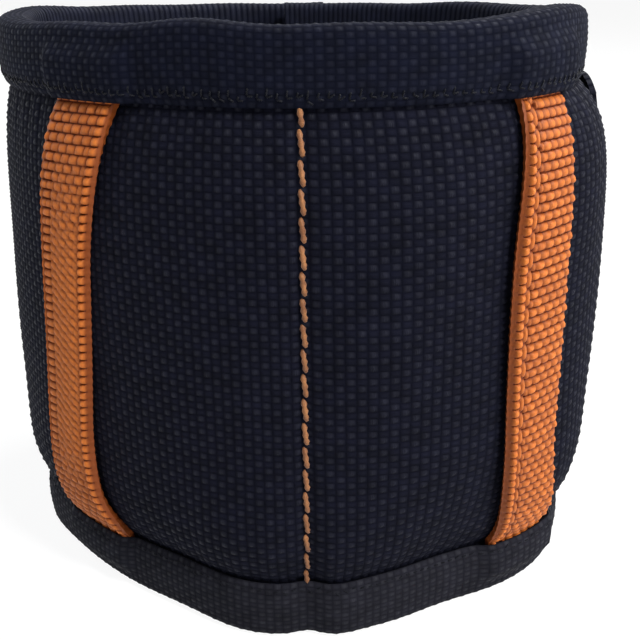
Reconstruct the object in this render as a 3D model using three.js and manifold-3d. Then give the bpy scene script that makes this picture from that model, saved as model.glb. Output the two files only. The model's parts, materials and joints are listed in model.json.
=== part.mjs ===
// Magnetic wristband: a padded fabric band closed into a ring by a hook-and-loop flap at its back.
// Millimetres, +Z up. The ring stands on its lower edge, its axis is Z and its front faces -Y.
// Angles are in degrees round the ring, from the middle of the front towards +X.
import * as THREE from 'three';
import { mergeVertices } from 'three/addons/utils/BufferGeometryUtils.js';
import Module from 'manifold-3d';

const wasm = await Module();
wasm.setup();
const { degToRad, radToDeg, smoothstep, lerp } = THREE.MathUtils;

// Ring, to the outer face of the shell fabric where the binding holds it
const bandWidth = 90;
const ringRadius = 47.9;
const frontFlat = 7;
const frontFlatAngle = -33;
const frontFlatReachAngle = 80;

// Fabrics, and the gap between layers that touch
const shellThickness = 1;
const liningThickness = 1.5;
const clearance = 0.3;

// Folded tape that binds the edges
const bindingWidth = 9.8;
const bindingThickness = 1;
const bindingFold = 1.6;

// Padding: how far the shell stands out and the lining stands in, at a pocket's middle, at the quilted seams
// between two pockets, and at the seams where the padding ends. It sags: it is fullest low down.
const pocketCrown = 4.4;
const quiltCrown = 3.6;
const seamCrown = 0.6;
const pocketBulge = 2;
const seamBulge = 0.6;
const paddingSag = 0.25;
const edgeSquareness = 6;
const seamSquareness = 4;

// Seams that divide the band into pockets
const wingEndAngle = -188;
const wingHingeAngle = -102;
const leftSeamAngle = -47;
const centreSeamAngle = 3;
const rightSeamAngle = 49;
const pocketsEndAngle = 88;
const hingeGap = 0.42;

// Under end, which tucks inside the wing
const underEndAngle = 182;
const tuckStartAngle = 92;
const tuckEndAngle = 164;
const tuckGap = 0.5;

// Magnets, in foam sheets that fill the pockets
const magnetDiameter = 12;
const magnetThickness = 2;
const magnetRows = 3;
const magnetMargin = 2.9;
const foamMargin = 5;
const foamClearance = 0.45;

// Webbing strips down the front, slack between their sewn ends, where they bow sideways a little
const stripWidth = 12.2;
const stripThickness = 1.6;
const stripTuck = 5;
const stripSlack = 0.6;
const stripRamp = 3.5;
const strips = {
  strip_left: { bottomAngle: -50.5, middleAngle: -43.2, topAngle: -39.4 },
  strip_right: { bottomAngle: 49, middleAngle: 43.3, topAngle: 48.4 },
};

// Closure: loop tape on the under end, and a flap with hook tape
const loopThickness = 1;
const loopStartAngle = 93;
const loopEndAngle = 160;
const hookThickness = 1.2;
const hookStartAngle = 92;
const hookEndAngle = 158;
const tapeMargin = 4;
const flapThickness = 0.9;
const flapTipAngle = 86;
const flapCorner = 8;
const flapMargin = 1;
const flapGap = 0.5;

// Facets
const fullTurnAngle = 360;
const stepAngle = 7.5;
const sheetRows = 6;
const foldSteps = 3;
const stripFacets = 3;
const magnetSides = 20;

// Places that follow from those sizes
const layerEdge = bindingThickness + clearance;
const liningFace = -(shellThickness + clearance);
const bindingOuter = clearance + bindingThickness;
const bindingInnerFace = liningFace - liningThickness - clearance;
const endTapeFace = seamCrown + clearance;
const endTapeInnerFace = bindingInnerFace - seamBulge;
const tuckDepth = endTapeFace + bindingThickness + pocketBulge + tuckGap - liningFace + liningThickness;
const loopFace = seamCrown + clearance;
const hookFace = loopFace + loopThickness + clearance;
const flapFace = hookFace + hookThickness + clearance;
const flapRootAngle = wingEndAngle + fullTurnAngle - spanOf(bindingThickness + clearance + flapGap);
const wingSeamAngle = wingEndAngle + spanOf(bindingWidth + clearance);
const seams = [
  { angle: wingSeamAngle, crown: seamCrown },
  { angle: wingHingeAngle, crown: seamCrown },
  { angle: leftSeamAngle, crown: quiltCrown },
  { angle: centreSeamAngle, crown: quiltCrown },
  { angle: rightSeamAngle, crown: quiltCrown },
  { angle: pocketsEndAngle, crown: seamCrown },
];

// Angle that a length takes up on the ring
function spanOf(length) {
  return radToDeg(length / ringRadius);
}

// Outline of the ring: round, flatter over the front left pocket, drawn in where the under end tucks away
function outline(angle) {
  const across = Math.min(Math.abs(angle - frontFlatAngle) / frontFlatReachAngle, 1);
  const flat = frontFlat * (1 + Math.cos(Math.PI * across)) / 2;
  return ringRadius - flat - tuckDepth * smoothstep(angle, tuckStartAngle, tuckEndAngle);
}

function place(angle, out, up) {
  const reach = outline(angle) + out;
  return new THREE.Vector3(reach * Math.sin(degToRad(angle)), -reach * Math.cos(degToRad(angle)), up);
}

// Share of its full stand that the padding has at a height: none under the bindings, most low down
function swell(up) {
  const across = (up - bindingWidth) / (bandWidth - 2 * bindingWidth);
  if (across <= 0 || across >= 1) return 0;
  return (1 - Math.abs(2 * across - 1) ** edgeSquareness) * (1 - paddingSag * across);
}

// Padding at an angle: how full it is, from nothing at the seams, and how far out the seams hold it
function padding(angle) {
  const next = seams.findIndex((seam) => seam.angle > angle);
  if (next < 1) return { fullness: 0, heldAt: seamCrown };
  const from = seams[next - 1];
  const to = seams[next];
  const across = (angle - from.angle) / (to.angle - from.angle);
  return {
    fullness: 1 - Math.abs(2 * across - 1) ** seamSquareness,
    heldAt: lerp(from.crown, to.crown, across),
  };
}

function shellOuter(angle, up) {
  const { fullness, heldAt } = padding(angle);
  return lerp(heldAt, pocketCrown, fullness) * swell(up);
}

function liningOuter(angle, up) {
  return liningFace - lerp(seamBulge, pocketBulge, padding(angle).fullness) * swell(up);
}

function capOf(section) {
  const corners = section.map(([out, up]) => new THREE.Vector2(out, up));
  return THREE.ShapeUtils.triangulateShape(corners, []);
}

// Sweeps a closed section round the ring. A section is a list of [out, up, turn], counterclockwise with
// out to the right, and turn shifts a point round the ring by that many degrees.
function sweepRound(angles, sectionAt) {
  const sections = angles.map((angle) => sectionAt(angle));
  const count = sections[0].length;
  const points = sections.flatMap((section, k) =>
    section.map(([out, up, turn = 0]) => place(angles[k] + turn, out, up)));
  const index = [];
  for (let k = 0; k < angles.length - 1; k++) {
    for (let i = 0; i < count; i++) {
      const a = k * count + i;
      const b = k * count + (i + 1) % count;
      index.push(a, b + count, b, a, a + count, b + count);
    }
  }
  const last = (angles.length - 1) * count;
  for (const [a, b, c] of capOf(sections[0])) index.push(a, b, c);
  for (const [a, b, c] of capOf(sections.at(-1))) index.push(last + a, last + c, last + b);
  return new THREE.BufferGeometry().setFromPoints(points).setIndex(index);
}

function evenly(from, to, parts) {
  return Array.from({ length: parts + 1 }, (_, i) => lerp(from, to, i / parts));
}

// Angles that all layers share: the ends of the band, its seams, the edges of the foam, and steps between
const foamReach = spanOf(foamMargin);
const seamStations = seams.flatMap(({ angle }) => [angle - foamReach, angle, angle + foamReach]);
const stations = [wingEndAngle];
for (const angle of [...seamStations, underEndAngle]) {
  const start = stations.at(-1);
  stations.push(...evenly(start, angle, Math.ceil((angle - start) / stepAngle)).slice(1));
}

// Angles of a sweep's sections: its two ends, and between them the shared ones and any others
function anglesBetween(from, to, others = []) {
  const apart = spanOf(clearance);
  const inside = [...stations, ...others]
    .filter((angle) => angle > from + apart && angle < to - apart)
    .sort((a, b) => a - b);
  return [from, ...inside, to];
}

// Heights of a layer's rows: its two edges, and between them those that all layers share
const foamLow = bindingWidth + foamMargin;
const foamHeights = evenly(foamLow, bandWidth - foamLow, sheetRows);
const sheetHeights = [bindingWidth, ...foamHeights, bandWidth - bindingWidth];

function rowsBetween(low) {
  return [low, ...sheetHeights.filter((up) => up > low && up < bandWidth - low), bandWidth - low];
}

// A layer of the band between two faces, each a stand-off from the outline
function layer(from, to, rows, innerAt, outerAt) {
  return sweepRound(anglesBetween(from, to), (angle) => [
    ...rows.map((up) => [outerAt(angle, up), up]),
    ...rows.toReversed().map((up) => [innerAt(angle, up), up]),
  ]);
}

function shellLayer(from, to) {
  const inner = (angle, up) => shellOuter(angle, up) - shellThickness;
  return layer(from, to, rowsBetween(layerEdge), inner, shellOuter);
}

function liningLayer(from, to) {
  const inner = (angle, up) => liningOuter(angle, up) - liningThickness;
  return layer(from, to, rowsBetween(layerEdge), inner, liningOuter);
}

// Foam sheet that fills the space between shell and lining from one seam to the next
function foamLayer(from, to) {
  const inner = (angle, up) => liningOuter(angle, up) + foamClearance;
  const outer = (angle, up) => shellOuter(angle, up) - shellThickness - foamClearance;
  return layer(from + foamReach, to - foamReach, rowsBetween(foamLow), inner, outer);
}

// Strips: where one lies round the ring at a height, and its half width as an angle
const stripLow = bindingWidth - stripTuck;

function stripMiddle(strip, up) {
  const share = (up - stripLow) / (bandWidth - 2 * stripLow);
  const bow = strip.middleAngle - (strip.bottomAngle + strip.topAngle) / 2;
  return lerp(strip.bottomAngle, strip.topAngle, share) + 4 * share * (1 - share) * bow;
}

function stripHalf(strip) {
  return radToDeg(stripWidth / 2 / outline(stripMiddle(strip, bandWidth / 2)));
}

function stripLayer(strip) {
  const rows = rowsBetween(stripLow);
  const seatAt = (up) => (pocketCrown + stripSlack) * swell(up) + clearance;
  const half = stripHalf(strip);
  return sweepRound(evenly(-half, half, stripFacets), () => [
    ...rows.map((up) => [seatAt(up) + stripThickness, up, stripMiddle(strip, up)]),
    ...rows.toReversed().map((up) => [seatAt(up), up, stripMiddle(strip, up)]),
  ]);
}

// Stretch of a binding that rides up over a strip's end, as the angles where it starts and stops rising
function stripCrossing(strip, edge) {
  const end = edge === 'top' ? strip.topAngle : strip.bottomAngle;
  const free = edge === 'top' ? bandWidth - bindingWidth : bindingWidth;
  const half = stripHalf(strip) + Math.abs(stripMiddle(strip, free) - end) + spanOf(2 * clearance);
  const ramp = spanOf(stripRamp);
  return [-half - ramp, -half, half, half + ramp].map((turn) => end + turn);
}

function stripLift(angle, edge) {
  const lifts = Object.values(strips).map((strip) => {
    const [rise, on, off, fall] = stripCrossing(strip, edge);
    return smoothstep(angle, rise, on) * (1 - smoothstep(angle, off, fall));
  });
  return (stripThickness + clearance) * Math.max(...lifts);
}

// Binding tape folded over the top edge of the layers; the lower one is its mirror image
function bindingSection(lift) {
  const free = bandWidth - bindingWidth;
  const tucked = free + stripTuck + clearance;
  const inside = bindingInnerFace - bindingThickness;
  const bend = (corner, start) => evenly(start, start + Math.PI / 2, foldSteps).map((turn) => [
    corner + bindingFold * Math.cos(turn),
    bandWidth - bindingFold + bindingFold * Math.sin(turn),
  ]);
  return [
    [bindingOuter + lift, free],
    [bindingOuter + lift, tucked],
    ...bend(bindingOuter - bindingFold, 0),
    ...bend(inside + bindingFold, Math.PI / 2),
    [inside, free],
    [bindingInnerFace, free],
    [bindingInnerFace, bandWidth - bindingThickness],
    [clearance, bandWidth - bindingThickness],
    [clearance + lift, tucked],
    [clearance + lift, free],
  ];
}

function binding(from, to, edge) {
  const crossings = Object.values(strips).flatMap((strip) => stripCrossing(strip, edge));
  return sweepRound(anglesBetween(from, to, crossings), (angle) => {
    const section = bindingSection(stripLift(angle, edge));
    if (edge === 'top') return section;
    return section.toReversed().map(([out, up]) => [out, bandWidth - up]);
  });
}

// Binding tape folded round an upright end of the band, between the bindings of its edges
function endBinding(end, towards) {
  const leg = spanOf(bindingWidth) * towards;
  const foldIn = end + spanOf(clearance) * -towards;
  const foldOut = end + spanOf(clearance + bindingThickness) * -towards;
  const outer = endTapeFace + bindingThickness;
  const inner = endTapeInnerFace - bindingThickness;
  const legEdge = end + leg;
  const along = evenly(legEdge, foldIn, foldSteps);
  const ring = [
    ...along.map((angle) => place(angle, outer, 0)),
    place(foldOut, outer - bindingFold, 0),
    place(foldOut, inner + bindingFold, 0),
    ...along.toReversed().map((angle) => place(angle, inner, 0)),
    ...along.map((angle) => place(angle, endTapeInnerFace, 0)),
    ...along.toReversed().map((angle) => place(angle, endTapeFace, 0)),
  ];
  const low = bindingWidth + clearance;
  const height = bandWidth - 2 * low;
  const tape = new THREE.ExtrudeGeometry(new THREE.Shape(ring), { depth: height, bevelEnabled: false });
  return tape.translate(0, 0, low);
}

// Tape or flap fabric that lies flat, between two stand-offs, with its free corners rounded at its start
function flatTape({ from, to, low, inner, thickness, corner }) {
  const high = bandWidth - low;
  const outer = inner + thickness;
  const rounded = evenly(0, 1, foldSteps + 1).map((share) => from + spanOf(corner) * share ** 2);
  const rest = anglesBetween(from + spanOf(corner), to).slice(1);
  return sweepRound([...rounded, ...rest], (angle) => {
    const past = Math.min((angle - from) / spanOf(corner), 1);
    const drop = corner * (1 - Math.sqrt(1 - (1 - past) ** 2));
    return [
      [outer, low + drop],
      [outer, high - drop],
      [inner, high - drop],
      [inner, low + drop],
    ];
  });
}

// Solids for cutting and joining
function solid(geometry) {
  const bare = geometry.clone();
  bare.deleteAttribute('normal');
  bare.deleteAttribute('uv');
  const merged = mergeVertices(bare);
  return new wasm.Manifold(new wasm.Mesh({
    numProp: 3,
    vertProperties: merged.attributes.position.array,
    triVerts: new Uint32Array(merged.index.array),
  }));
}

function meshOf(body) {
  const { vertProperties, triVerts } = body.getMesh();
  const geometry = new THREE.BufferGeometry();
  geometry.setAttribute('position', new THREE.BufferAttribute(vertProperties, 3));
  return geometry.setIndex(new THREE.BufferAttribute(triVerts, 1));
}

// Disc half way between shell and lining, square to the outline at an angle
function discInWall(diameter, thickness, angle, up) {
  const between = (shellOuter(angle, up) - shellThickness + liningOuter(angle, up)) / 2;
  const at = place(angle, between, up);
  const along = place(angle + spanOf(clearance), between, up).sub(at);
  return new THREE.CylinderGeometry(diameter / 2, diameter / 2, thickness, magnetSides)
    .rotateZ(Math.atan2(along.y, along.x))
    .translate(at.x, at.y, at.z);
}

// Materials
const finishes = {
  shell: { color: 0x14141c, roughness: 0.75 },
  lining: { color: 0x1b1c22, roughness: 0.9 },
  binding: { color: 0x17181f, roughness: 0.8 },
  webbing: { color: 0xd9742c, roughness: 0.7 },
  foam: { color: 0x3a3b40, roughness: 0.95 },
  magnet: { color: 0xc9ccd0, roughness: 0.25, metalness: 1 },
  tape: { color: 0x101014, roughness: 0.95 },
};

const wristband = new THREE.Group();

function add(name, finish, geometry) {
  const mesh = new THREE.Mesh(geometry, new THREE.MeshStandardMaterial(finishes[finish]));
  mesh.name = name;
  wristband.add(mesh);
}

// Body of the band: shell, lining and edge bindings from the wing's seam to the under end
const bodyStart = wingHingeAngle + spanOf(hingeGap / 2);
add('shell_front', 'shell', shellLayer(bodyStart, underEndAngle));
add('lining_front', 'lining', liningLayer(bodyStart, underEndAngle));
add('upper_binding_front', 'binding', binding(bodyStart, underEndAngle, 'top'));
add('lower_binding_front', 'binding', binding(bodyStart, underEndAngle, 'bottom'));
add('under_end_binding', 'binding', endBinding(underEndAngle, -1));

// Pockets: each holds a foam sheet with a column of magnets in punched holes
const pockets = {
  left_side: [wingHingeAngle, leftSeamAngle],
  front_left: [leftSeamAngle, centreSeamAngle],
  front_right: [centreSeamAngle, rightSeamAngle],
  right_side: [rightSeamAngle, pocketsEndAngle],
};
const outerMagnets = bandWidth - 2 * (foamLow + magnetMargin + clearance) - magnetDiameter;
const magnetPitch = outerMagnets / (magnetRows - 1);
for (const [pocket, [from, to]] of Object.entries(pockets)) {
  let foam = solid(foamLayer(from, to));
  for (let row = 0; row < magnetRows; row++) {
    const up = bandWidth / 2 + (row - (magnetRows - 1) / 2) * magnetPitch;
    const middle = (from + to) / 2;
    const holeDepth = magnetThickness + 2 * (pocketCrown + pocketBulge);
    foam = foam.subtract(solid(discInWall(magnetDiameter + 2 * clearance, holeDepth, middle, up)));
    add(`magnet_${pocket}_${row + 1}`, 'magnet', discInWall(magnetDiameter, magnetThickness, middle, up));
  }
  add(`foam_${pocket}`, 'foam', meshOf(foam));
}

// Webbing strips
for (const [name, strip] of Object.entries(strips)) add(name, 'webbing', stripLayer(strip));

// Loop tape on the outside of the under end
const flapLow = bindingWidth + flapMargin;
const tapeLow = flapLow + tapeMargin;
add('loop_tape', 'tape', flatTape({
  from: loopStartAngle,
  to: loopEndAngle,
  low: tapeLow,
  inner: loopFace,
  thickness: loopThickness,
  corner: tapeMargin,
}));

// Wing: the end of the band that swings out, with a plain foam sheet
const wingStart = wingHingeAngle - spanOf(hingeGap / 2);
add('shell_wing', 'shell', shellLayer(wingEndAngle, wingStart));
add('lining_wing', 'lining', liningLayer(wingEndAngle, wingStart));
add('upper_binding_wing', 'binding', binding(wingEndAngle, wingStart, 'top'));
add('lower_binding_wing', 'binding', binding(wingEndAngle, wingStart, 'bottom'));
add('wing_end_binding', 'binding', endBinding(wingEndAngle, 1));
add('foam_wing', 'foam', foamLayer(wingSeamAngle, wingHingeAngle));

// Flap: fabric tongue from the wing's end round to the right side, with hook tape on its inside
add('flap', 'shell', flatTape({
  from: flapTipAngle,
  to: flapRootAngle,
  low: flapLow,
  inner: flapFace,
  thickness: flapThickness,
  corner: flapCorner,
}));
add('hook_tape', 'tape', flatTape({
  from: hookStartAngle,
  to: hookEndAngle,
  low: tapeLow,
  inner: hookFace,
  thickness: hookThickness,
  corner: tapeMargin,
}));

// The origin is under the middle of the closed band, on the surface that it stands on
const middle = new THREE.Box3().setFromObject(wristband).getCenter(new THREE.Vector3());
wristband.position.set(-middle.x, -middle.y, 0);

export default wristband;
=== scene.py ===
import json
import math

import bpy
import numpy as np
from mathutils import Matrix, Vector

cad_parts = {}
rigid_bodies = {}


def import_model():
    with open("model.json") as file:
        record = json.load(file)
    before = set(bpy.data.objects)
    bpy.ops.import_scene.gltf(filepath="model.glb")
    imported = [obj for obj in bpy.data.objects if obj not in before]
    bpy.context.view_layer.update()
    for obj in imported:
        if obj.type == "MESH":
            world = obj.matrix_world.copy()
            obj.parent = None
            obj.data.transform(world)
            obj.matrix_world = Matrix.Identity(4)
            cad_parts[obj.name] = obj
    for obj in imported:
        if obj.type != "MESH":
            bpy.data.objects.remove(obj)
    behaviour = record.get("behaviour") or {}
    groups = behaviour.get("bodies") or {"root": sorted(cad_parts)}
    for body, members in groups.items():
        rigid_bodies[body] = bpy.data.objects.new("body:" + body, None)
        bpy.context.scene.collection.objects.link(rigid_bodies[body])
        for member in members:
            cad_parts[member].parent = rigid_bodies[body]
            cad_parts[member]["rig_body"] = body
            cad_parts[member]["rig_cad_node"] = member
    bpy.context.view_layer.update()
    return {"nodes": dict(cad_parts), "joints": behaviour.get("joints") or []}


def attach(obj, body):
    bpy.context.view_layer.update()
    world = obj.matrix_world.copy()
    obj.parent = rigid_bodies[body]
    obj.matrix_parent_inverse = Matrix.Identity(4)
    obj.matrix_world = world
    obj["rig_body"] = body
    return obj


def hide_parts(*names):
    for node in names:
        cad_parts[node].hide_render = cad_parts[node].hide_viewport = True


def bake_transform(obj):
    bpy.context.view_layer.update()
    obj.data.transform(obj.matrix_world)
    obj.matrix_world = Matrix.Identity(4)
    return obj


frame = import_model()

# Lining: two sheets of black spacer mesh that lie against the wrist, one in the band and one in its wing.
# A thick polyester knit full of small open cells, quilted to the padding and caught in the bindings.
mm = 0.001
band_width = 90 * mm
binding_width = 9.8 * mm
ring_radius = 47.9 * mm
front_flat = 7 * mm
front_flat_angle = -33
front_flat_reach = 80
tuck_depth = 7.2 * mm
tuck_start = 92
tuck_end = 164
wing_end = -188
wing_hinge = -102
hinge_gap = 0.25
under_end = 182
hinge_stand = 1.6 * mm


def rise(value, low, high):
    share = np.clip((value - low) / (high - low), 0, 1)
    return share * share * (3 - 2 * share)


def outline(angle):
    across = np.minimum(np.abs(angle - front_flat_angle) / front_flat_reach, 1)
    flat = front_flat * (1 + np.cos(np.pi * across)) / 2
    return ring_radius - flat - tuck_depth * rise(angle, tuck_start, tuck_end)


wing_joint, flap_joint = frame["joints"]
hinge_spot = Vector(wing_joint["pos_m"])
hinge_reach = outline(wing_hinge) + hinge_stand
middle_x = hinge_spot.x - hinge_reach * math.sin(math.radians(wing_hinge))
middle_y = hinge_spot.y + hinge_reach * math.cos(math.radians(wing_hinge))
lower_bends = [
    (-76, 9, 1 * mm),
    (-8, 13, 2.2 * mm),
    (3, 3.2, -1 * mm),
    (8, 6, 0.9 * mm),
    (31, 13, -2.5 * mm),
    (60, 12, 1.4 * mm),
]
lower_from = 9 * mm
lower_to = 32 * mm
upper_bends = [(-92, 20, -0.4 * mm), (86, 24, -1 * mm)]
upper_from = 74 * mm
upper_to = 84 * mm


def bell(value, middle, width):
    return np.exp(-(((value - middle) / width) ** 2))


def bumps(angle, places):
    """A line of soft bumps along the ring, each given by its angle, its width in degrees and its height."""
    return sum(most * bell(angle, middle, width) for middle, width, most in places)


def stray(angle, up):
    """How far the two edges stray from the outline, as soft cloth that stands on a table does."""
    lower = bumps(angle, lower_bends) * (1 - rise(up, lower_from, lower_to))
    return lower + bumps(angle, upper_bends) * rise(up, upper_from, upper_to)


def place(angle, out, up):
    """Points at an angle round the ring, a stand-off from its outline and a height."""
    reach = outline(angle) + out + stray(angle, up)
    turn = np.radians(angle)
    x = middle_x + reach * np.sin(turn)
    y = middle_y - reach * np.cos(turn)
    return np.stack(np.broadcast_arrays(x, y, up), axis=-1)


def span(length):
    return np.degrees(length / ring_radius)


def arc(degrees):
    return np.radians(degrees) * ring_radius


def between(low, high, share):
    return low + (high - low) * share


def height_at(low, share):
    return low + (band_width - 2 * low) * share


pockets_end = 88
seams = [wing_end + span(binding_width), wing_hinge, -47, 3, 49, pockets_end]
pocket_squareness = [4, 4, 4, 4, 2.5]
pocket_bulge = 2 * mm
seam_bulge = 0.6 * mm
lining_sag = 0.25
edge_squareness = 6


def swell(up, sag=lining_sag):
    """Share of the padding's full stand at a height: none under the bindings, and less the higher up."""
    across = np.clip((up - binding_width) / (band_width - 2 * binding_width), 0, 1)
    return (1 - np.abs(2 * across - 1) ** edge_squareness) * (1 - sag * across)


def pocket_at(angle):
    return np.clip(np.searchsorted(seams, angle, side="right"), 1, len(seams) - 1) - 1


def fullness(angle):
    """Share of the padding's full stand at an angle: none at a seam, all of it between two."""
    pocket = pocket_at(angle)
    low = np.take(seams, pocket)
    high = np.take(seams, pocket + 1)
    across = np.clip((angle - low) / (high - low), 0, 1)
    return 1 - np.abs(2 * across - 1) ** np.take(pocket_squareness, pocket)


broad_wave = (7.3 * mm, 9.1 * mm)
narrow_wave = (3.9 * mm, 6.2 * mm)
narrow_share = 0.6
cloth_crease = math.radians(60)


def waver(angle, up, kind):
    """Slow unevenness of sewn cloth, from -1 to 1."""
    along = arc(angle)
    broad = np.sin(along / broad_wave[0] + kind) * np.cos(up / broad_wave[1] + 2 * kind)
    narrow = np.sin(along / narrow_wave[0] - up / narrow_wave[1] + 3 * kind)
    return (broad + narrow_share * narrow) / (1 + narrow_share)


def corners_of(piece):
    points = np.empty(3 * len(piece.data.vertices))
    piece.data.vertices.foreach_get("co", points)
    return points.reshape(-1, 3)


def cloth(name, steps_along, steps_up, spots_at, thickness):
    """A sheet: a flat grid whose points go where spots_at puts them, with a wall inside that face."""
    bpy.ops.object.select_all(action="DESELECT")
    bpy.ops.mesh.primitive_grid_add(x_subdivisions=steps_along, y_subdivisions=steps_up, size=1)
    piece = bpy.context.object
    piece.name = name
    shares = corners_of(piece) + 0.5
    spots, relief = spots_at(shares[:, 0], shares[:, 1])
    piece.data.vertices.foreach_set("co", spots.ravel())
    height = piece.data.attributes.new("relief", "FLOAT", "POINT")
    height.data.foreach_set("value", np.broadcast_to(relief, len(spots)).astype(np.float32))
    wall = piece.modifiers.new("wall", "SOLIDIFY")
    wall.thickness = thickness
    wall.offset = -1
    bpy.ops.object.modifier_apply(modifier="wall")
    bpy.ops.object.shade_smooth_by_angle(angle=cloth_crease)
    return piece


def finish(name):
    material = bpy.data.materials.new(name)
    material.use_nodes = True
    return material, material.node_tree.nodes["Principled BSDF"]


def plug(node, inputs):
    """Give each of a node's inputs a value or another node's output."""
    for socket, value in inputs.items():
        if isinstance(value, bpy.types.NodeSocket):
            node.id_data.links.new(value, node.inputs[socket])
        else:
            node.inputs[socket].default_value = value


def add_node(near, kind, inputs, **options):
    """A new node in the same tree as another node or its output."""
    node = near.id_data.nodes.new(f"ShaderNode{kind}")
    for option, value in options.items():
        setattr(node, option, value)
    plug(node, inputs)
    return node


def follow(kind, inputs, **options):
    """A new node in the same tree as the outputs that it takes in."""
    near = next(value for value in inputs.values() if isinstance(value, bpy.types.NodeSocket))
    return add_node(near, kind, inputs, **options)


def reckon(operation, *values):
    return follow("Math", dict(enumerate(values)), operation=operation).outputs[0]


def times(first, second):
    return reckon("MULTIPLY", first, second)


def blend_colours(share, first, second, mode="MIX"):
    inputs = {0: share, 6: first, 7: second}
    return follow("Mix", inputs, data_type="RGBA", blend_type=mode).outputs[2]


def span_values(value, low, high):
    return follow("MapRange", {"Value": value, "To Min": low, "To Max": high}).outputs[0]


def pick_out(value, low, high):
    """Nothing up to the low value, one from the high value on, and an even rise between them."""
    return follow("MapRange", {"Value": value, "From Min": low, "From Max": high}).outputs[0]


def noise(spots, scale, detail):
    return follow("TexNoise", {"Vector": spots, "Scale": scale, "Detail": detail}).outputs[0]


def object_spots(shader):
    return add_node(shader, "TexCoord", {}).outputs["Object"]


def coat(shader, colour, roughness, gloss=0.5):
    plug(shader, {"Base Color": colour, "Roughness": roughness, "Specular IOR Level": gloss})


def emboss(shader, height, strength, depth):
    inputs = {"Height": height, "Strength": strength, "Distance": depth}
    plug(shader, {"Normal": follow("Bump", inputs).outputs[0]})


def cloth_cells(shader, columns, rows):
    """The column and the row of the cloth's own threads at a point of its surface."""
    flat = add_node(shader, "TexCoord", {}).outputs["UV"]
    cells = follow("VectorMath", {0: flat, 1: (columns, rows, 1)}, operation="MULTIPLY").outputs[0]
    parts = follow("SeparateXYZ", {0: cells})
    return cells, parts.outputs[0], parts.outputs[1]


lining_face = -1.3 * mm
lining_thickness = 1.5 * mm
cell_width = 2.6 * mm
cell_depth = 0.3 * mm
cell_steps = 3
layer_edge = 1.3 * mm
lining_wave = 0.25 * mm


def spacer_mesh(columns, rows):
    material, shader = finish(f"spacer_mesh_{columns}")
    cells = cloth_cells(shader, columns, rows)[0]
    openings = follow("TexVoronoi", {"Vector": cells, "Scale": 1.0, "Randomness": 0.12})
    ribs = span_values(openings.outputs["Distance"], 0.0, 1.6)
    shade = times(ribs, span_values(noise(cells, 9.0, 3.0), 0.5, 1.3))
    # Painted shade: the colour goes near-black inside the open cells, as shade in the holes.
    colour = blend_colours(shade, (0.002, 0.0022, 0.003, 1), (0.026, 0.028, 0.036, 1))
    coat(shader, colour, 0.8, 0.12)
    emboss(shader, shade, 0.8, 0.5 * mm)
    return material


def lining(name, start, end):
    columns = round(arc(end - start) / cell_width)
    rows = round((band_width - 2 * layer_edge) / cell_width)

    def spots_at(along, up_share):
        angle = between(start, end, along)
        up = height_at(layer_edge, up_share)
        bulge = between(seam_bulge, pocket_bulge, fullness(angle))
        wave = lining_wave * waver(angle, up, 1) * swell(up)
        dimple = cell_depth * np.cos(2 * np.pi * columns * along) * np.cos(2 * np.pi * rows * up_share)
        return place(angle, lining_face - bulge * swell(up) + wave - dimple / 2, up), 0

    piece = cloth(name, columns * cell_steps, rows * cell_steps, spots_at, lining_thickness)
    piece.data.materials.append(spacer_mesh(columns, rows))
    return piece


def hang_on_hinge(piece):
    """Bakes the piece's placement into its mesh; the piece is not hung on the wing and does not turn with
    it.
    """
    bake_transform(piece)


front_start = wing_hinge + hinge_gap
front_lining = lining("front_lining_mesh", front_start, under_end)
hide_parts("lining_front")
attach(front_lining, "band")
wing_lining = lining("wing_lining_mesh", wing_end, wing_hinge)
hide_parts("lining_wing")
hang_on_hinge(wing_lining)

# Padding: five sheets of dark closed-cell foam between lining and shell, four of them punched for magnets.
# Each is cut to its pocket with soft edges, and lies loose there until the pocket is sewn shut.
foam_edge = 0.35 * mm
foam_weld = 0.001 * mm
foam_corner = math.radians(50)
foam_crease = math.radians(40)
foam, foam_shader = finish("closed_cell_foam")
foam_inputs = {"Vector": object_spots(foam_shader), "Scale": 2600.0}
foam_cells = follow("TexVoronoi", foam_inputs).outputs["Distance"]
foam_shade = span_values(foam_cells, 0.2, 1.0)
foam_colour = blend_colours(foam_shade, (0.02, 0.02, 0.023, 1), (0.06, 0.061, 0.066, 1))
coat(foam_shader, foam_colour, 0.9, 0.2)
emboss(foam_shader, foam_shade, 0.5, 0.1 * mm)


def take(piece):
    """Put a new piece in the scene, alone selected and active."""
    bpy.context.scene.collection.objects.link(piece)
    bpy.ops.object.select_all(action="DESELECT")
    bpy.context.view_layer.objects.active = piece
    piece.select_set(True)


for pocket in ("left_side", "front_left", "front_right", "right_side", "wing"):
    body = "wing" if pocket == "wing" else "band"
    cut = frame["nodes"][f"foam_{pocket}"]
    pad = cut.copy()
    pad.data = cut.data.copy()
    pad.parent = None
    pad.name = f"foam_pad_{pocket}"
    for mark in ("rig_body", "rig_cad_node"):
        del pad[mark]
    take(pad)
    bpy.ops.object.mode_set(mode="EDIT")
    bpy.ops.mesh.select_all(action="SELECT")
    bpy.ops.mesh.remove_doubles(threshold=foam_weld)
    bpy.ops.object.mode_set(mode="OBJECT")
    soften = pad.modifiers.new("soft_edge", "BEVEL")
    soften.width = foam_edge
    soften.segments = 2
    soften.limit_method = "ANGLE"
    soften.angle_limit = foam_corner
    bpy.ops.object.modifier_apply(modifier="soft_edge")
    spots = corners_of(pad)
    turn = np.arctan2(spots[:, 0] - middle_x, middle_y - spots[:, 1])
    strayed = stray(np.degrees(turn), spots[:, 2])
    spots[:, 0] += strayed * np.sin(turn)
    spots[:, 1] -= strayed * np.cos(turn)
    pad.data.vertices.foreach_set("co", spots.ravel())
    bpy.ops.object.shade_smooth_by_angle(angle=foam_crease)
    pad.data.materials.clear()
    pad.data.materials.append(foam)
    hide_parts(f"foam_{pocket}")
    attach(pad, body)

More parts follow.
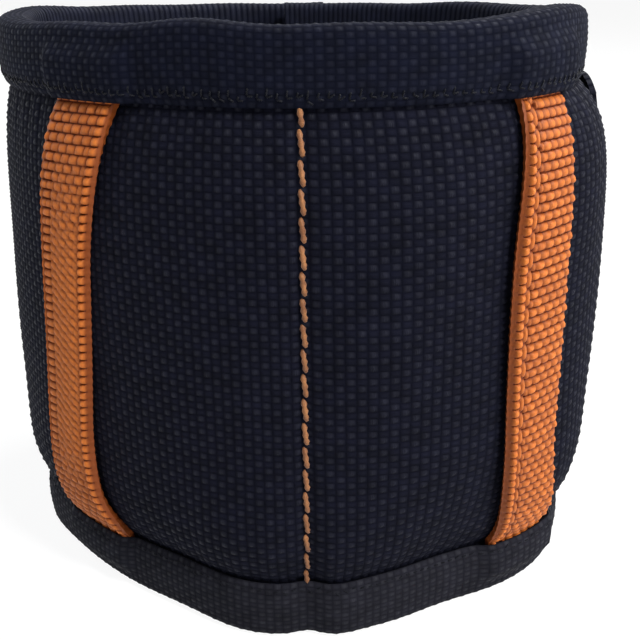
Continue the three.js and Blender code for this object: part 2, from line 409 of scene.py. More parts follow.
# Magnets: three flat discs in each pocket, pressed into the punched holes of the foam.
# Sintered metal plated with bright nickel, scuffed by handling before the pocket was closed.
nickel, nickel_shader = finish("nickel_plate")
scuffs = noise(object_spots(nickel_shader), 900.0, 5.0)
nickel_colour = blend_colours(scuffs, (0.52, 0.52, 0.53, 1), (0.68, 0.67, 0.66, 1))
coat(nickel_shader, nickel_colour, span_values(scuffs, 0.12, 0.42))
plug(nickel_shader, {"Metallic": 1.0})
for name, disc in frame["nodes"].items():
    if name.startswith("magnet_"):
        disc.data.materials.clear()
        disc.data.materials.append(nickel)

# Shell: the outside of the band, heavy plain-woven black nylon, in lengths for front, under end and wing.
# It is drawn down at the quilting seams and puffed by the foam between them.
thread_width = 1.45 * mm
thread_height = 1 * mm
weave_depth = 0.22 * mm
weft_share = 0.3
shell_thickness = 1 * mm
seam_crowns = [0.6 * mm, 0.6 * mm, 3.6 * mm, 3.6 * mm, 3.6 * mm, 0.6 * mm]
pocket_crowns = [4.4 * mm, 4.9 * mm, 4.4 * mm, 4.4 * mm, 5.7 * mm]
pocket_sags = [0.25, 0.68, 0.25, 0.25, -0.04]
centre_seam = 3.25
seam_lean = 0.9
seam_groove = 0.55 * mm
seam_reach = 1.1 * mm
edge_pucker = 0.22 * mm
pucker_length = 0.8 * mm
pucker_reach = 6 * mm
pucker_ramp = 2 * mm
shell_wave = 0.3 * mm
fleck_gloss = 0.16
float_roundness = 0.85


def drawn_noise(column, row, across, up):
    """Noise drawn out into filaments, with so many to a column and to a row."""
    lines = {0: times(column, across), 1: times(row, up)}
    return noise(follow("CombineXYZ", lines).outputs[0], 1.0, 2.0)


def ridges(threads):
    """Stand across a row of threads: nothing between two of them, one on the middle of each."""
    return reckon("ABSOLUTE", reckon("SINE", times(threads, math.pi)))


def woven_nylon(name, columns, rows, colours, dull, shiny, narrow=1.7, ribs_from=1, stand=0.32 * mm):
    """Plain weave: upright warp floats and level weft floats by turns, each a flat bundle of filaments,
    with shade painted into the gaps between them.
    """
    material, shader = finish(name)
    cells, column, row = cloth_cells(shader, columns, rows)
    place_sum = reckon("ADD", reckon("FLOOR", column), reckon("FLOOR", row))
    checks = reckon("LESS_THAN", reckon("MODULO", place_sum, 2.0), 0.5)
    in_ribs = reckon("GREATER_THAN", row, rows * ribs_from)
    warp_over = reckon("MAXIMUM", checks, in_ribs)
    across_warp = ridges(column)
    across_weft = ridges(row)
    float_side = span_values(warp_over, across_weft, reckon("POWER", across_warp, narrow))
    float_end = span_values(warp_over, across_warp, across_weft)
    whole_end = reckon("MAXIMUM", float_end, in_ribs)
    crown = times(float_side, reckon("POWER", whole_end, float_roundness))
    fine_across = span_values(warp_over, 0.9, 9.0)
    fine_up = span_values(warp_over, 9.0, 0.9)
    strands = span_values(drawn_noise(column, row, fine_across, fine_up), 0.35, 1.15)
    shade = times(reckon("POWER", crown, 0.8), strands)
    # The third colour is painted shade: it fills the gaps between floats and their ends, where the crown is
    # low.
    warp_colour, weft_colour, painted_gap_shade = colours
    # Warp floats are coloured lighter than weft floats: painted sheen, as the warp floats catch more light.
    float_colour = blend_colours(warp_over, weft_colour, warp_colour)
    dark = blend_colours(shade, painted_gap_shade, float_colour)
    uneven = span_values(noise(cells, 0.37, 1.0), 0.4, 1.6)
    flecks = pick_out(noise(cells, 2.3, 2.0), 0.58, 0.72)
    fleck_shine = times(flecks, fleck_gloss)
    float_rough = span_values(warp_over, dull, shiny)
    float_gloss = reckon("ADD", reckon("SUBTRACT", 1.0, float_rough), fleck_shine)
    rough = reckon("SUBTRACT", 1.0, times(shade, float_gloss))
    coat(shader, blend_colours(1.0, dark, uneven, "MULTIPLY"), rough, 0.09)
    plug(shader, {"Specular Tint": (0.96, 0.98, 1, 1)})
    emboss(shader, shade, 0.8, stand)
    return material


def weave(columns, rows, along, up_share, ribs_from=1):
    """Stand of the weave's floats: 0 between threads, 1 on an upright one, and only ribs past a share."""
    column = columns * along
    row = rows * up_share
    ribs = np.abs(np.sin(np.pi * column))
    crown = ribs * np.abs(np.sin(np.pi * row))
    level = (np.floor(column) + np.floor(row)) % 2
    return np.where(up_share > ribs_from, ribs, crown * np.where(level == 0, 1, weft_share))


def seam_line(up):
    """Angle of the centre seam at a height: it leans a little."""
    return centre_seam + seam_lean * (up / band_width - 0.5)


def shell_out(angle, up):
    """Stand-off of the shell's face, without its weave."""
    pocket = pocket_at(angle)
    held = np.interp(angle, seams, seam_crowns) * swell(up)
    full = np.take(pocket_crowns, pocket) * swell(up, np.take(pocket_sags, pocket))
    crown = between(held, full, fullness(angle))
    from_seam = arc(angle - seam_line(up))
    groove = seam_groove * bell(from_seam, 0, seam_reach) * rise(swell(up), 0, 0.5)
    from_edge = np.minimum(up, band_width - up) - binding_width
    near_edge = np.exp(-np.abs(from_edge) / pucker_reach) * rise(from_edge, 0, pucker_ramp)
    along = arc(angle)
    pucker = edge_pucker * near_edge * np.sin(along / pucker_length + waver(angle, 0, 4))
    return crown - groove + pucker + shell_wave * waver(angle, up, 2) * swell(up)


# Warp, weft and gap colours: the gap colour is painted shade, and the warp's lead over the weft is painted
# sheen.
shell_colours = ((0.0113, 0.0119, 0.0216, 1), (0.0064, 0.007, 0.0158, 1), (0.0026, 0.0029, 0.0072, 1))
shell_dull = 0.8
shell_shiny = 0.19


def shell(name, start, end):
    columns = round(arc(end - start) / thread_width)
    rows = round((band_width - 2 * layer_edge) / thread_height)

    def spots_at(along, up_share):
        angle = between(start, end, along)
        up = height_at(layer_edge, up_share)
        relief = weave(columns, rows, along, up_share)
        return place(angle, shell_out(angle, up) + weave_depth * relief, up), relief

    piece = cloth(name, 2 * columns, 2 * rows, spots_at, shell_thickness)
    nylon = woven_nylon(f"{name}_nylon", columns, rows, shell_colours, shell_dull, shell_shiny)
    piece.data.materials.append(nylon)
    return piece


front_shell = shell("front_shell_cloth", front_start, pockets_end)
under_shell = shell("under_end_shell_cloth", pockets_end, under_end)
for part in (front_shell, under_shell):
    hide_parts("shell_front")
    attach(part, "band")
wing_shell = shell("wing_shell_cloth", wing_end, wing_hinge)
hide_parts("shell_wing")
hang_on_hinge(wing_shell)

# Centre seam: one row of thick two-ply orange thread up the front, which parts the two front pockets.
# Lockstitch through all layers; each stitch lies aslant and pulls its two needle holes down.
stitch_sides = 8
stitch_rings = 10
ply_bulge = 0.26
ply_turns = 1.6
stitch_squareness = 8
stitch_tip = 0.02
dive_squareness = 4


def face_outward():
    """Turn the active piece's faces outward and shade it smooth."""
    bpy.ops.object.mode_set(mode="EDIT")
    bpy.ops.mesh.select_all(action="SELECT")
    bpy.ops.mesh.normals_make_consistent(inside=False)
    bpy.ops.object.mode_set(mode="OBJECT")
    bpy.ops.object.shade_smooth()


def sew(name, starts, ends, outward, radius, dive):
    """Stitches from starts to ends, copies of one spindle of two-ply thread, joined in one piece."""
    bpy.ops.object.select_all(action="DESELECT")
    bpy.ops.mesh.primitive_uv_sphere_add(segments=stitch_sides, ring_count=stitch_rings, radius=0.5)
    piece = bpy.context.object
    piece.name = name
    spindle = corners_of(piece)
    faces = [list(face.vertices) for face in piece.data.polygons]
    along = 2 * spindle[:, 2]
    turn = np.arctan2(spindle[:, 1], spindle[:, 0])
    stout = np.sqrt(np.clip(1 - along ** stitch_squareness, stitch_tip, 1))
    plies = 1 + ply_bulge * np.cos(2 * turn - 2 * np.pi * ply_turns * along)
    side_share = stout * plies * np.cos(turn)
    out_share = stout * plies * np.sin(turn)
    points = []
    joined = []
    for start, end, out in zip(starts, ends, outward):
        line = end - start
        length = np.linalg.norm(line)
        side = np.cross(out, line / length)
        spots = (start + end) / 2 + np.outer(along / 2, line) + radius * np.outer(side_share, side)
        spots += np.outer(radius * out_share - dive * along ** dive_squareness, out)
        joined += [[corner + len(points) * len(spindle) for corner in face] for face in faces]
        points.append(spots)
    piece.data.clear_geometry()
    piece.data.from_pydata(np.concatenate(points).tolist(), [], joined)
    face_outward()
    return piece


def outwards(angles):
    turn = np.radians(angles)
    return np.stack([np.sin(turn), -np.cos(turn), 0 * turn], axis=-1)


def thread_finish(name, dark, light, roughness, gloss, sheen):
    material, shader = finish(name)
    spots = object_spots(shader)
    fibres = noise(spots, 5200.0, 3.0)
    mottle = pick_out(noise(spots, 600.0, 1.0), 0.3, 0.7)
    shade = times(fibres, reckon("ADD", mottle, 0.5))
    coat(shader, blend_colours(shade, dark, light), roughness, gloss)
    emboss(shader, fibres, 0.5, 0.06 * mm)
    plug(shader, {"Sheen Weight": sheen})
    return material


seam_pitch = 3.66 * mm
seam_gap = 0.05 * mm
seam_radius = 0.36 * mm
seam_dive = 0.5 * mm
seam_slant = 0.24 * mm
seam_stand = 0.3 * mm
seam_top = band_width - binding_width + 1.2 * mm
seam_stitches = 20
orange_shades = ((0.11, 0.03, 0.009, 1), (0.46, 0.195, 0.068, 1))
orange_thread = thread_finish("orange_thread", *orange_shades, 0.45, 0.3, 0.2)
seam_tops = seam_top - seam_pitch * np.arange(seam_stitches)
seam_feet = seam_tops - seam_pitch + seam_gap
top_angles = seam_line(seam_tops) - span(seam_slant)
foot_angles = seam_line(seam_feet) + span(seam_slant)
top_spots = place(top_angles, shell_out(top_angles, seam_tops) + seam_stand, seam_tops)
foot_spots = place(foot_angles, shell_out(foot_angles, seam_feet) + seam_stand, seam_feet)
seam_out = outwards(np.full(seam_stitches, centre_seam))
centre_stitches = sew("centre_seam_stitches", top_spots, foot_spots, seam_out, seam_radius, seam_dive)
centre_stitches.data.materials.append(orange_thread)
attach(centre_stitches, "band")

# Strips: two lengths of orange webbing down the front, slack between ends sewn in under the bindings.
# Coarse plain-woven polypropylene with bead-like floats; the inner edge is a corded or a knotted selvedge.
strip_width = 12.2 * mm
strip_base = 0.95 * mm
strip_crown = 5 * mm
strip_seat = 0.3 * mm
strip_tuck = 5 * mm
strip_low = binding_width - strip_tuck
bead_depth = 0.7 * mm
bead_columns = 7
bead_rows = 60
bead_squareness = 2.1
bead_length = 0.92
steps_per_column = 10
steps_per_row = 8
edge_columns = 0.36
edge_stand = 0.3
edge_drop = 0.7 * mm
selvedge_columns = {"left": 1.3, "right": 1.65}
knot_shares = {"left": 0.99, "right": 0.56}
edge_fold = 0.07
fade_columns = 0.4
scallop_share = 0.01
selvedge_ridges = {"left": 0.1 * mm, "right": 0.3 * mm}
selvedge_grooves = {"left": 0.06 * mm, "right": 0.3 * mm}
# How strongly the selvedge groove darkens the webbing's colour: painted shade.
groove_painted_shade = 2 / mm
groove_shift = 0.08
groove_width = 0.13
cord_shift = 0.3
cord_stand = 0.8
waists = {"left": 0.3, "right": 0.03}
waist_low = 0.34
waist_high = 0.62
waist_roll = {"left": 1.1 * mm, "right": 0}
drawn = {"left": 0.8, "right": 0}
cord_columns = 0.4
notch_columns = 1.6
rib_slant = 0.8
rib_low = 0.3
rib_stand = 0.6
smooth_stand = 0.9
strip_gather = {"left": 0, "right": 0.14}
flares = {"left": 0.27, "right": 0}
flare_low = 11 * mm
flare_high = 19 * mm
sways = {"left": 0, "right": -1.5}
tapers = {"left": 0, "right": 0.09}
sway_middle = 25 * mm
sway_reach = 13 * mm
gather_low = 58 * mm
gather_high = 80 * mm
strips = {"left": (-50, -42.9, -38.6), "right": (49, 43.3, 47)}
bead_lots = np.random.default_rng(5).uniform(0.74, 1, (bead_rows + 3, bead_columns + 4))


def strip_angle(bends, up):
    """Middle of a strip at a height, from its angles at the lower end, half way and the upper end."""
    bottom, middle, top = bends
    share = (up - strip_low) / (band_width - 2 * strip_low)
    bow = middle - (bottom + top) / 2
    return between(bottom, top, share) + 4 * share * (1 - share) * bow


def strip_half(bends):
    return math.degrees(strip_width / 2 / outline(strip_angle(bends, band_width / 2)))


def pillow(across, along):
    """Stand of one rounded float, over a cell that reaches from -1 to 1 both ways."""
    sides = 1 - np.clip(np.abs(across), 0, 1) ** bead_squareness
    ends = 1 - np.clip(np.abs(along) / bead_length, 0, 1) ** bead_squareness
    return np.sqrt(sides * ends)


def beads(column, row):
    """Stand of the webbing's floats, set like bricks, from 0 between them to 1 on top."""
    line = np.floor(row)
    shifted = column - 0.5 * (line % 2)
    lot = bead_lots[line.astype(int), np.floor(shifted).astype(int) + 2]
    return lot * pillow(2 * (shifted % 1) - 1, 2 * (row % 1) - 1)


def selvedge(column, row, wide, knot_share):
    """Stand of the selvedge: a rolled edge, a column of knots, and a narrow cord beside them."""
    inside = (column - edge_columns) / (wide - edge_columns)
    knots = pillow(2 * inside / knot_share - 1, 2 * (row % 1) - 1)
    cord = pillow(2 * (inside - knot_share) / (1 - knot_share) - 1, 2 * ((row / 2 + cord_shift) % 1) - 1)
    floats = np.where(inside < knot_share, knots, cord_stand * cord)
    return np.where(inside < 0, edge_stand, floats)


def drawn_in(column, row):
    """Stand of the webbing where a strip is drawn together: a smooth edge, notches, then slanted ribs."""
    notches = pillow(2 * (column - cord_columns) / notch_columns - 1, 2 * (row % 1) - 1)
    ribs = rib_low + rib_stand * np.sqrt(np.abs(np.sin(np.pi * (row + rib_slant * column))))
    inner = np.where(column < cord_columns + notch_columns, notches, ribs)
    return np.where(column < cord_columns, smooth_stand, inner)


def webbing_finish():
    material, shader = finish("orange_webbing")
    cells, column, row = cloth_cells(shader, bead_columns, bead_rows)
    stand = add_node(shader, "Attribute", {}, attribute_name="relief").outputs["Fac"]
    filaments = drawn_noise(column, row, 9.0, 1.1)
    lots = span_values(noise(cells, 0.8, 2.0), 0, 0.5)
    yarn = blend_colours(filaments, (0.53, 0.116, 0.017, 1), (0.85, 0.27, 0.046, 1))
    yarn = blend_colours(lots, yarn, (0.57, 0.138, 0.021, 1))
    # Painted shade: the colour falls to a deep red-brown where the floats' relief is low, between the beads
    # and along their edges.
    colour = blend_colours(pick_out(stand, 0.12, 0.98), (0.12, 0.018, 0.003, 1), yarn)
    coat(shader, colour, span_values(filaments, 0.66, 0.44), 0.25)
    emboss(shader, filaments, 0.5, 0.12 * mm)
    return material


strip_steps = (bead_columns * steps_per_column, bead_rows * steps_per_row)
orange_webbing = webbing_finish()
for side, bends in strips.items():
    half = strip_half(bends)

    def spots_at(along, up_share):
        from_far = bead_columns * (along if side == "left" else 1 - along)
        column = bead_columns - from_far
        row = bead_rows * up_share
        up = height_at(strip_low, up_share)
        waist = rise(up_share, 0, waist_low) * (1 - rise(up_share, waist_high, 1))
        pulled = drawn[side] * waist
        wide = selvedge_columns[side]
        floats = (1 - pulled) * beads(column - wide, row) + pulled * drawn_in(from_far, row)
        relief = np.where(column < wide, selvedge(column, row, wide, knot_shares[side]), floats)
        in_ridge = (column - edge_columns) / (wide - edge_columns)
        ridge = selvedge_ridges[side] * np.sqrt(np.clip(1 - (2 * in_ridge - 1) ** 2, 0, 1))
        ridge = ridge - edge_drop * (1 - rise(column, 0, edge_columns))
        groove = selvedge_grooves[side] * bell(column - wide, groove_shift, groove_width)
        scallop = scallop_share * np.sin(2 * np.pi * row) * (2 * along - 1) ** 5
        seat = strip_crown * swell(up) + strip_seat + strip_base
        out = seat + bead_depth * relief * rise(from_far, 0, fade_columns) + swell(up) * (ridge - groove)
        sway = bell(up, sway_middle, sway_reach)
        gathered = half * (1 - strip_gather[side] * rise(up, gather_low, gather_high) - tapers[side] * sway)
        flare = flares[side] * (1 - rise(up, flare_low, flare_high))
        across = 2 * along - 1 + scallop + (flare - 2 * waists[side] * waist) * along
        inward = -1 if side == "left" else 1
        across = across + inward * edge_fold * (1 - rise(column, 0, 2 * edge_columns))
        angle = strip_angle(bends, up) + sways[side] * sway + gathered * across
        out = out - waist_roll[side] * waist * along ** 4
        # The groove term only darkens the relief kept for colour: painted shade in the groove beside the
        # selvedge.
        return place(angle, out, up), relief * (1 - groove_painted_shade * groove)

    strip = cloth(f"{side}_webbing_strip", *strip_steps, spots_at, strip_base)
    strip.data.materials.append(orange_webbing)
    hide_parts(f"strip_{side}")
    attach(strip, "band")

# Bindings: wide ribbed tape folded over the upper and lower edges of all layers, on band and wing alike.
# Sewn through near its free edges with black thread; it rides up where a strip's end is caught under it.
tape_thickness = 0.8 * mm
tape_fold = 1.6 * mm
tape_outer = 1.3 * mm
tape_inner = -4.1 * mm
tape_leg = binding_width - tape_fold
tape_bend = tape_fold * math.pi / 2
tape_crest = tape_outer - tape_inner - 2 * tape_fold
tape_length = 2 * (tape_leg + tape_bend) + tape_crest
tape_bulge = 0.3 * mm
tape_lip = 0.55 * mm
tape_wave = 0.25 * mm
rim_hills = [(-108, 24, 1 * mm), (-14, 11, 0.9 * mm), (56, 16, 1.4 * mm)]
tape_weave_depth = 0.1 * mm
tape_float_stand = 0.13 * mm
tape_thread_width = 1.3 * mm
tape_thread_height = 0.82 * mm
tape_ribs_from = 0.56
stitch_inset = 1.2 * mm
stitch_pull = 0.2 * mm
pull_reach = 0.6 * mm
lip_reach = 0.55 * mm
tape_waver = 0.12 * mm
tape_quickness = 3
strip_lift = 1.4 * mm
lift_ramp = 3.5 * mm
# Warp, weft and gap colours of the tapes, with painted shade in the gaps and painted sheen on the warp; the
# lower tape is lighter and greyer as painted reflection of the white floor.
tape_colours = {
    "upper": ((0.0076, 0.0088, 0.0192, 1), (0.0048, 0.0058, 0.0145, 1), (0.0025, 0.0032, 0.0083, 1)),
    "lower": ((0.0205, 0.0205, 0.027, 1), (0.017, 0.017, 0.0235, 1), (0.0092, 0.0092, 0.0135, 1)),
}
tape_narrowness = {"upper": 1.5, "lower": 1.2}
tape_dull = 0.8
tape_shiny = 0.4


def lift(angle, edge):
    """How far a binding rides up over the ends of the strips."""
    most = 0 * angle
    for bends in strips.values():
        end = bends[2] if edge == "upper" else bends[0]
        away = np.abs(angle - end)
        half = strip_half(bends)
        most = np.maximum(most, 1 - rise(away, half, half + span(lift_ramp)))
    return strip_lift * most


def folded(travel, outer, crest):
    """A tape folded over an edge: its stand-off, its reach from the free edges and its bends' turns."""
    first = np.clip((travel - tape_leg) / tape_bend, 0, 1) * math.pi / 2
    over = np.clip(travel - tape_leg - tape_bend, 0, crest)
    second = np.clip((travel - tape_leg - tape_bend - crest) / tape_bend, 0, 1) * math.pi / 2
    back = np.clip(travel - tape_leg - 2 * tape_bend - crest, 0, tape_leg)
    out = outer - tape_fold * (1 - np.cos(first)) - over - tape_fold * np.sin(second)
    reach = np.clip(travel, 0, tape_leg) + tape_fold * (np.sin(first) - 1 + np.cos(second)) - back
    return out, reach, first, second


def drawn_down(from_free):
    """How far a tape is drawn down at its free edge and by the stitches beside it."""
    pull = stitch_pull * bell(from_free, stitch_inset, pull_reach)
    return pull + tape_lip * bell(from_free, 0, lip_reach)


def tape_spots(angle, travel, edge, relief=0):
    """Face of a binding at an angle and at a distance across its tape, from its outer free edge."""
    out, reach, first, second = folded(travel, tape_outer, tape_crest)
    up = band_width - binding_width + reach
    from_free = np.minimum(travel, tape_length - travel)
    bulge = tape_bulge * np.sin(np.pi * np.clip(from_free / tape_leg, 0, 1))
    face = np.where(travel < tape_length / 2, 1, -1)
    uneven = tape_waver * waver(angle, travel * tape_quickness, 5)
    out = out + face * (bulge - drawn_down(from_free) + uneven)
    out = out + face * tape_weave_depth * relief * np.cos(first) * np.cos(second)
    up = up + tape_weave_depth * relief * (np.sin(first) - np.sin(second))
    out = out + lift(angle, edge) * (1 - rise(travel, strip_tuck, tape_leg))
    middle = np.sin(np.pi * travel / tape_length)
    if edge == "upper":
        hill = bumps(angle, rim_hills) + tape_wave * waver(angle, 0, 6)
        return place(angle, out, up + hill * middle)
    sink = tape_wave * (0.5 + 0.5 * waver(angle, 0, 6)) * middle
    return place(angle, out, band_width - up + sink)


def tape_cloth(name, columns, rows, spots_at, edge, ribs_from):
    piece = cloth(name, 2 * columns, 2 * rows, spots_at, tape_thickness)
    looks = (tape_colours[edge], tape_dull, tape_shiny, tape_narrowness[edge], ribs_from, tape_float_stand)
    piece.data.materials.append(woven_nylon(f"{name}_nylon", columns, rows, *looks))
    return piece


def binding(name, start, end, edge):
    columns = round(arc(end - start) / tape_thread_width)
    rows = round(tape_length / tape_thread_height)

    def spots_at(along, up_share):
        share = along if edge == "upper" else 1 - along
        relief = weave(columns, rows, along, up_share, tape_ribs_from)
        return tape_spots(between(start, end, share), tape_length * up_share, edge, relief), relief

    return tape_cloth(name, columns, rows, spots_at, edge, tape_ribs_from)


for edge in ("upper", "lower"):
    front_tape = binding(f"{edge}_front_tape", front_start, under_end, edge)
    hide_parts(f"{edge}_binding_front")
    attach(front_tape, "band")
    wing_tape = binding(f"{edge}_wing_tape", wing_end, wing_hinge, edge)
    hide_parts(f"{edge}_binding_wing")
    hang_on_hinge(wing_tape)

# Binding stitches: black lockstitch along both free edges of every binding, outside and inside.
# Bonded nylon thread, a little shinier than the tape that it sinks into.
hem_pitch = 1.35 * mm
hem_gap = 0.45 * mm
hem_radius = 0.12 * mm
hem_lean = 0.2 * mm
hem_rise = 0.85 * mm
hem_stray = 0.3 * mm
hem_sit = 0.6 * hem_radius
hem_dive = 0.25 * mm
foot_stray = 0.12 * mm
black = (0.003, 0.003, 0.005, 1)
black_thread = thread_finish("black_thread", black, (0.014, 0.015, 0.02, 1), 0.28, 0.1, 0)
dull_thread = thread_finish("dull_black_thread", black, (0.012, 0.013, 0.018, 1), 0.7, 0.1, 0)


def edge_row(name, start, end, edge, inside):
    """A row of stitches along one free edge of a binding, hooked on the side that is seen most."""
    count = round(arc(end - start) / hem_pitch)
    step = (end - start) / count
    firsts = start + step * np.arange(count)
    lasts = firsts + step - span(hem_gap)
    draws = np.random.default_rng(count)
    feet = (tape_length - stitch_inset if inside else stitch_inset) + draws.normal(0, foot_stray, count)
    tops = feet + draws.normal(0, hem_stray, count)
    hooked = edge == "upper" and not inside
    if hooked:
        uprights = feet + hem_rise + draws.normal(0, hem_stray, count)
        lasts = np.concatenate([lasts, firsts + span(hem_lean)])
        firsts = np.concatenate([firsts, firsts])
        tops = np.concatenate([tops, uprights])
        feet = np.concatenate([feet, feet])
    row_out = outwards((firsts + lasts) / 2) * (-1 if inside else 1)
    starts = tape_spots(firsts, feet, edge) + hem_sit * row_out
    ends = tape_spots(lasts, tops, edge) + hem_sit * row_out
    row = sew(name, starts, ends, row_out, hem_radius, hem_dive)
    row.data.materials.append(black_thread if edge == "upper" else dull_thread)
    return row


for edge in ("upper", "lower"):
    for inside in (False, True):
        face = "inside" if inside else "outside"
        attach(edge_row(f"{edge}_front_stitches_{face}", front_start, under_end, edge, inside), "band")
        hang_on_hinge(edge_row(f"{edge}_wing_stitches_{face}", wing_end, wing_hinge, edge, inside))

# End bindings: the same tape folded round the two upright ends of the band, between the edge bindings.
# Sewn through near both free edges; the under end slips inside the wing when the band is closed.
end_face = 0.9 * mm
end_inner_face = -3.7 * mm
end_low = binding_width + 0.3 * mm


def end_binding(name, end, towards):
    outer = end_face + tape_thickness
    crest = outer - end_inner_face + tape_thickness - 2 * tape_fold
    length = 2 * (tape_leg + tape_bend) + crest
    columns = round(length / tape_thread_width)
    rows = round((band_width - 2 * end_low) / tape_thread_height)

    def spots_at(along, up_share):
        travel = length * (along if towards < 0 else 1 - along)
        out, reach, first, second = folded(travel, outer, crest)
        relief = weave(columns, rows, along, up_share)
        stand = tape_weave_depth * relief * np.cos(first) * np.cos(second)
        face = np.where(travel < length / 2, 1, -1)
        out = out + face * (stand - drawn_down(np.minimum(travel, length - travel)))
        up = height_at(end_low, up_share)
        angle = end - towards * span(reach - binding_width)
        return place(angle, out, up), relief

    return tape_cloth(name, columns, rows, spots_at, "upper", 1)


under_tape = end_binding("under_end_tape", under_end, -1)
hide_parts("under_end_binding")
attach(under_tape, "band")
wing_end_tape = end_binding("wing_end_tape", wing_end, 1)
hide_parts("wing_end_binding")
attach(wing_end_tape, "wing")

# Upright seams: black lockstitch down the free edges of the end bindings and down both sides of the hinge.
# The hinge is a quilted line, two rows of stitches through shell and lining with no foam between.
upright_pitch = 2.9 * mm
upright_gap = 0.45 * mm
upright_radius = 0.22 * mm
upright_sit = 0.5 * upright_radius
upright_dive = 0.25 * mm
upright_points = 80
hinge_row_inset = 1.3 * mm
hinge_row_low = binding_width + 1 * mm


def sew_along(name, line, outward):
    """A row of stitches along a line of close points."""
    steps = np.linalg.norm(np.diff(line, axis=0), axis=1)
    travel = np.concatenate([[0], np.cumsum(steps)])
    count = round(travel[-1] / upright_pitch)
    begins = np.arange(count) * travel[-1] / count
    stops = begins + travel[-1] / count - upright_gap

    def along(values, spots):
        return np.stack([np.interp(spots, travel, values[:, axis]) for axis in range(3)], axis=-1)

    starts = along(line, begins)
    row = sew(name, starts, along(line, stops), along(outward, begins), upright_radius, upright_dive)
    row.data.materials.append(black_thread)
    return row


def upright_row(name, angle, out_at, low, face=1):
    ups = np.linspace(low, band_width - low, upright_points)
    line = place(angle, out_at(ups) + face * upright_sit, ups)
    return sew_along(name, line, face * outwards(np.full(upright_points, angle)))


end_row_reach = span(binding_width - stitch_inset)
end_row_out = end_face + tape_thickness - stitch_pull
end_row_in = end_inner_face - tape_thickness + stitch_pull
end_rows = {"under": (under_end - end_row_reach, "band"), "wing": (wing_end + end_row_reach, "wing")}
for name, (angle, body) in end_rows.items():
    for back, out, face in (("", end_row_out, 1), ("_back", end_row_in, -1)):
        row = upright_row(f"{name}_end{back}_stitches", angle, lambda ups: out + 0 * ups, end_low, face)
        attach(row, body)
for name, towards in (("band", 1), ("wing", -1)):
    angle = wing_hinge + towards * span(hinge_row_inset)
    row = upright_row(f"hinge_{name}_stitches", angle, lambda ups: shell_out(angle, ups), hinge_row_low)
    if name == "band":
        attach(row, "band")
    else:
        hang_on_hinge(row)

# Loop tape: brushed loop pile sewn to the outside of the under end, where the flap's hooks take hold.
# Knitted nylon: a dense ground with a few thousand stray loops standing out of it.
loop_start = 93
loop_end = 160
loop_face = 0.9 * mm
loop_thickness = 1 * mm
flap_low = binding_width + 1 * mm
tape_margin = 4 * mm
tape_low = flap_low + tape_margin
pile_step = 0.55 * mm
pile_face = loop_face + loop_thickness - 0.25 * mm
pile_ground = loop_thickness - 0.3 * mm
tuft_stand = 0.2 * mm
tuft_height = 0.23 * mm
tuft_row = 0.9 * mm
tuft_columns = 31
tuft_turns = 9.7
tuft_sways = (5, 4)


def pile_finish():
    material, shader = finish("loop_pile")
    tufts = noise(object_spots(shader), 1900.0, 4.0)
    colour = blend_colours(tufts, (0.002, 0.002, 0.003, 1), (0.03, 0.03, 0.036, 1))
    coat(shader, colour, 0.8, 0.1)
    emboss(shader, tufts, 0.9, 0.3 * mm)
    plug(shader, {"Sheen Weight": 0.06})
    return material


def pile_spots(along, up_share):
    angle = between(loop_start, loop_end, along)
    up = height_at(tape_low, up_share)
    upright = np.sin(up / tuft_height + tuft_sways[0] * np.sin(angle * tuft_turns))
    tuft = upright * np.sin(angle * tuft_columns + tuft_sways[1] * np.cos(up / tuft_row))
    return place(angle, pile_face + tuft_stand * tuft, up), tuft


pile_along = round(arc(loop_end - loop_start) / pile_step)
pile_up = round((band_width - 2 * tape_low) / pile_step)
loop_pile = pile_finish()
loop_tape = cloth("loop_pile_tape", pile_along, pile_up, pile_spots, pile_ground)
loop_tape.data.materials.append(loop_pile)
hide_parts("loop_tape")
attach(loop_tape, "band")
loop_count = 1500
loop_width = 0.9 * mm
loop_height = 0.45 * mm
loop_wire = 0.05 * mm
loop_points = 6
loop_foot = loop_face + loop_thickness - 0.35 * mm
tape_inset = 1 * mm


def bent_wire(path, radius):
    """Corners and faces of a short square wire bent along a path."""
    bend = bpy.data.curves.new("bend", "CURVE")
    bend.dimensions = "3D"
    bend.bevel_depth = radius
    bend.bevel_resolution = 0
    bend.use_fill_caps = True
    run = bend.splines.new("POLY")
    run.points.add(len(path) - 1)
    for point, spot in zip(run.points, path):
        point.co = (*spot, 1)
    wire = bpy.data.objects.new("bend", bend)
    take(wire)
    bpy.ops.object.convert(target="MESH")
    corners = corners_of(wire)
    faces = [list(face.vertices) for face in wire.data.polygons]
    bpy.ops.object.delete()
    return corners, faces


def strew(name, corners, faces, angles, ups, out, turns):
    """Copies of one small shape on the ring, each turned about its outward line, joined in one piece."""
    across = np.outer(np.cos(turns), corners[:, 0]) - np.outer(np.sin(turns), corners[:, 1])
    upright = np.outer(np.sin(turns), corners[:, 0]) + np.outer(np.cos(turns), corners[:, 1])
    swung = angles[:, None] + span(across)
    spots = place(swung, out + corners[:, 2], ups[:, None] + upright)
    firsts = range(0, len(angles) * len(corners), len(corners))
    joined = [[first + corner for corner in face] for first in firsts for face in faces]
    mesh = bpy.data.meshes.new(name)
    mesh.from_pydata(spots.reshape(-1, 3).tolist(), [], joined)
    piece = bpy.data.objects.new(name, mesh)
    take(piece)
    face_outward()
    return piece


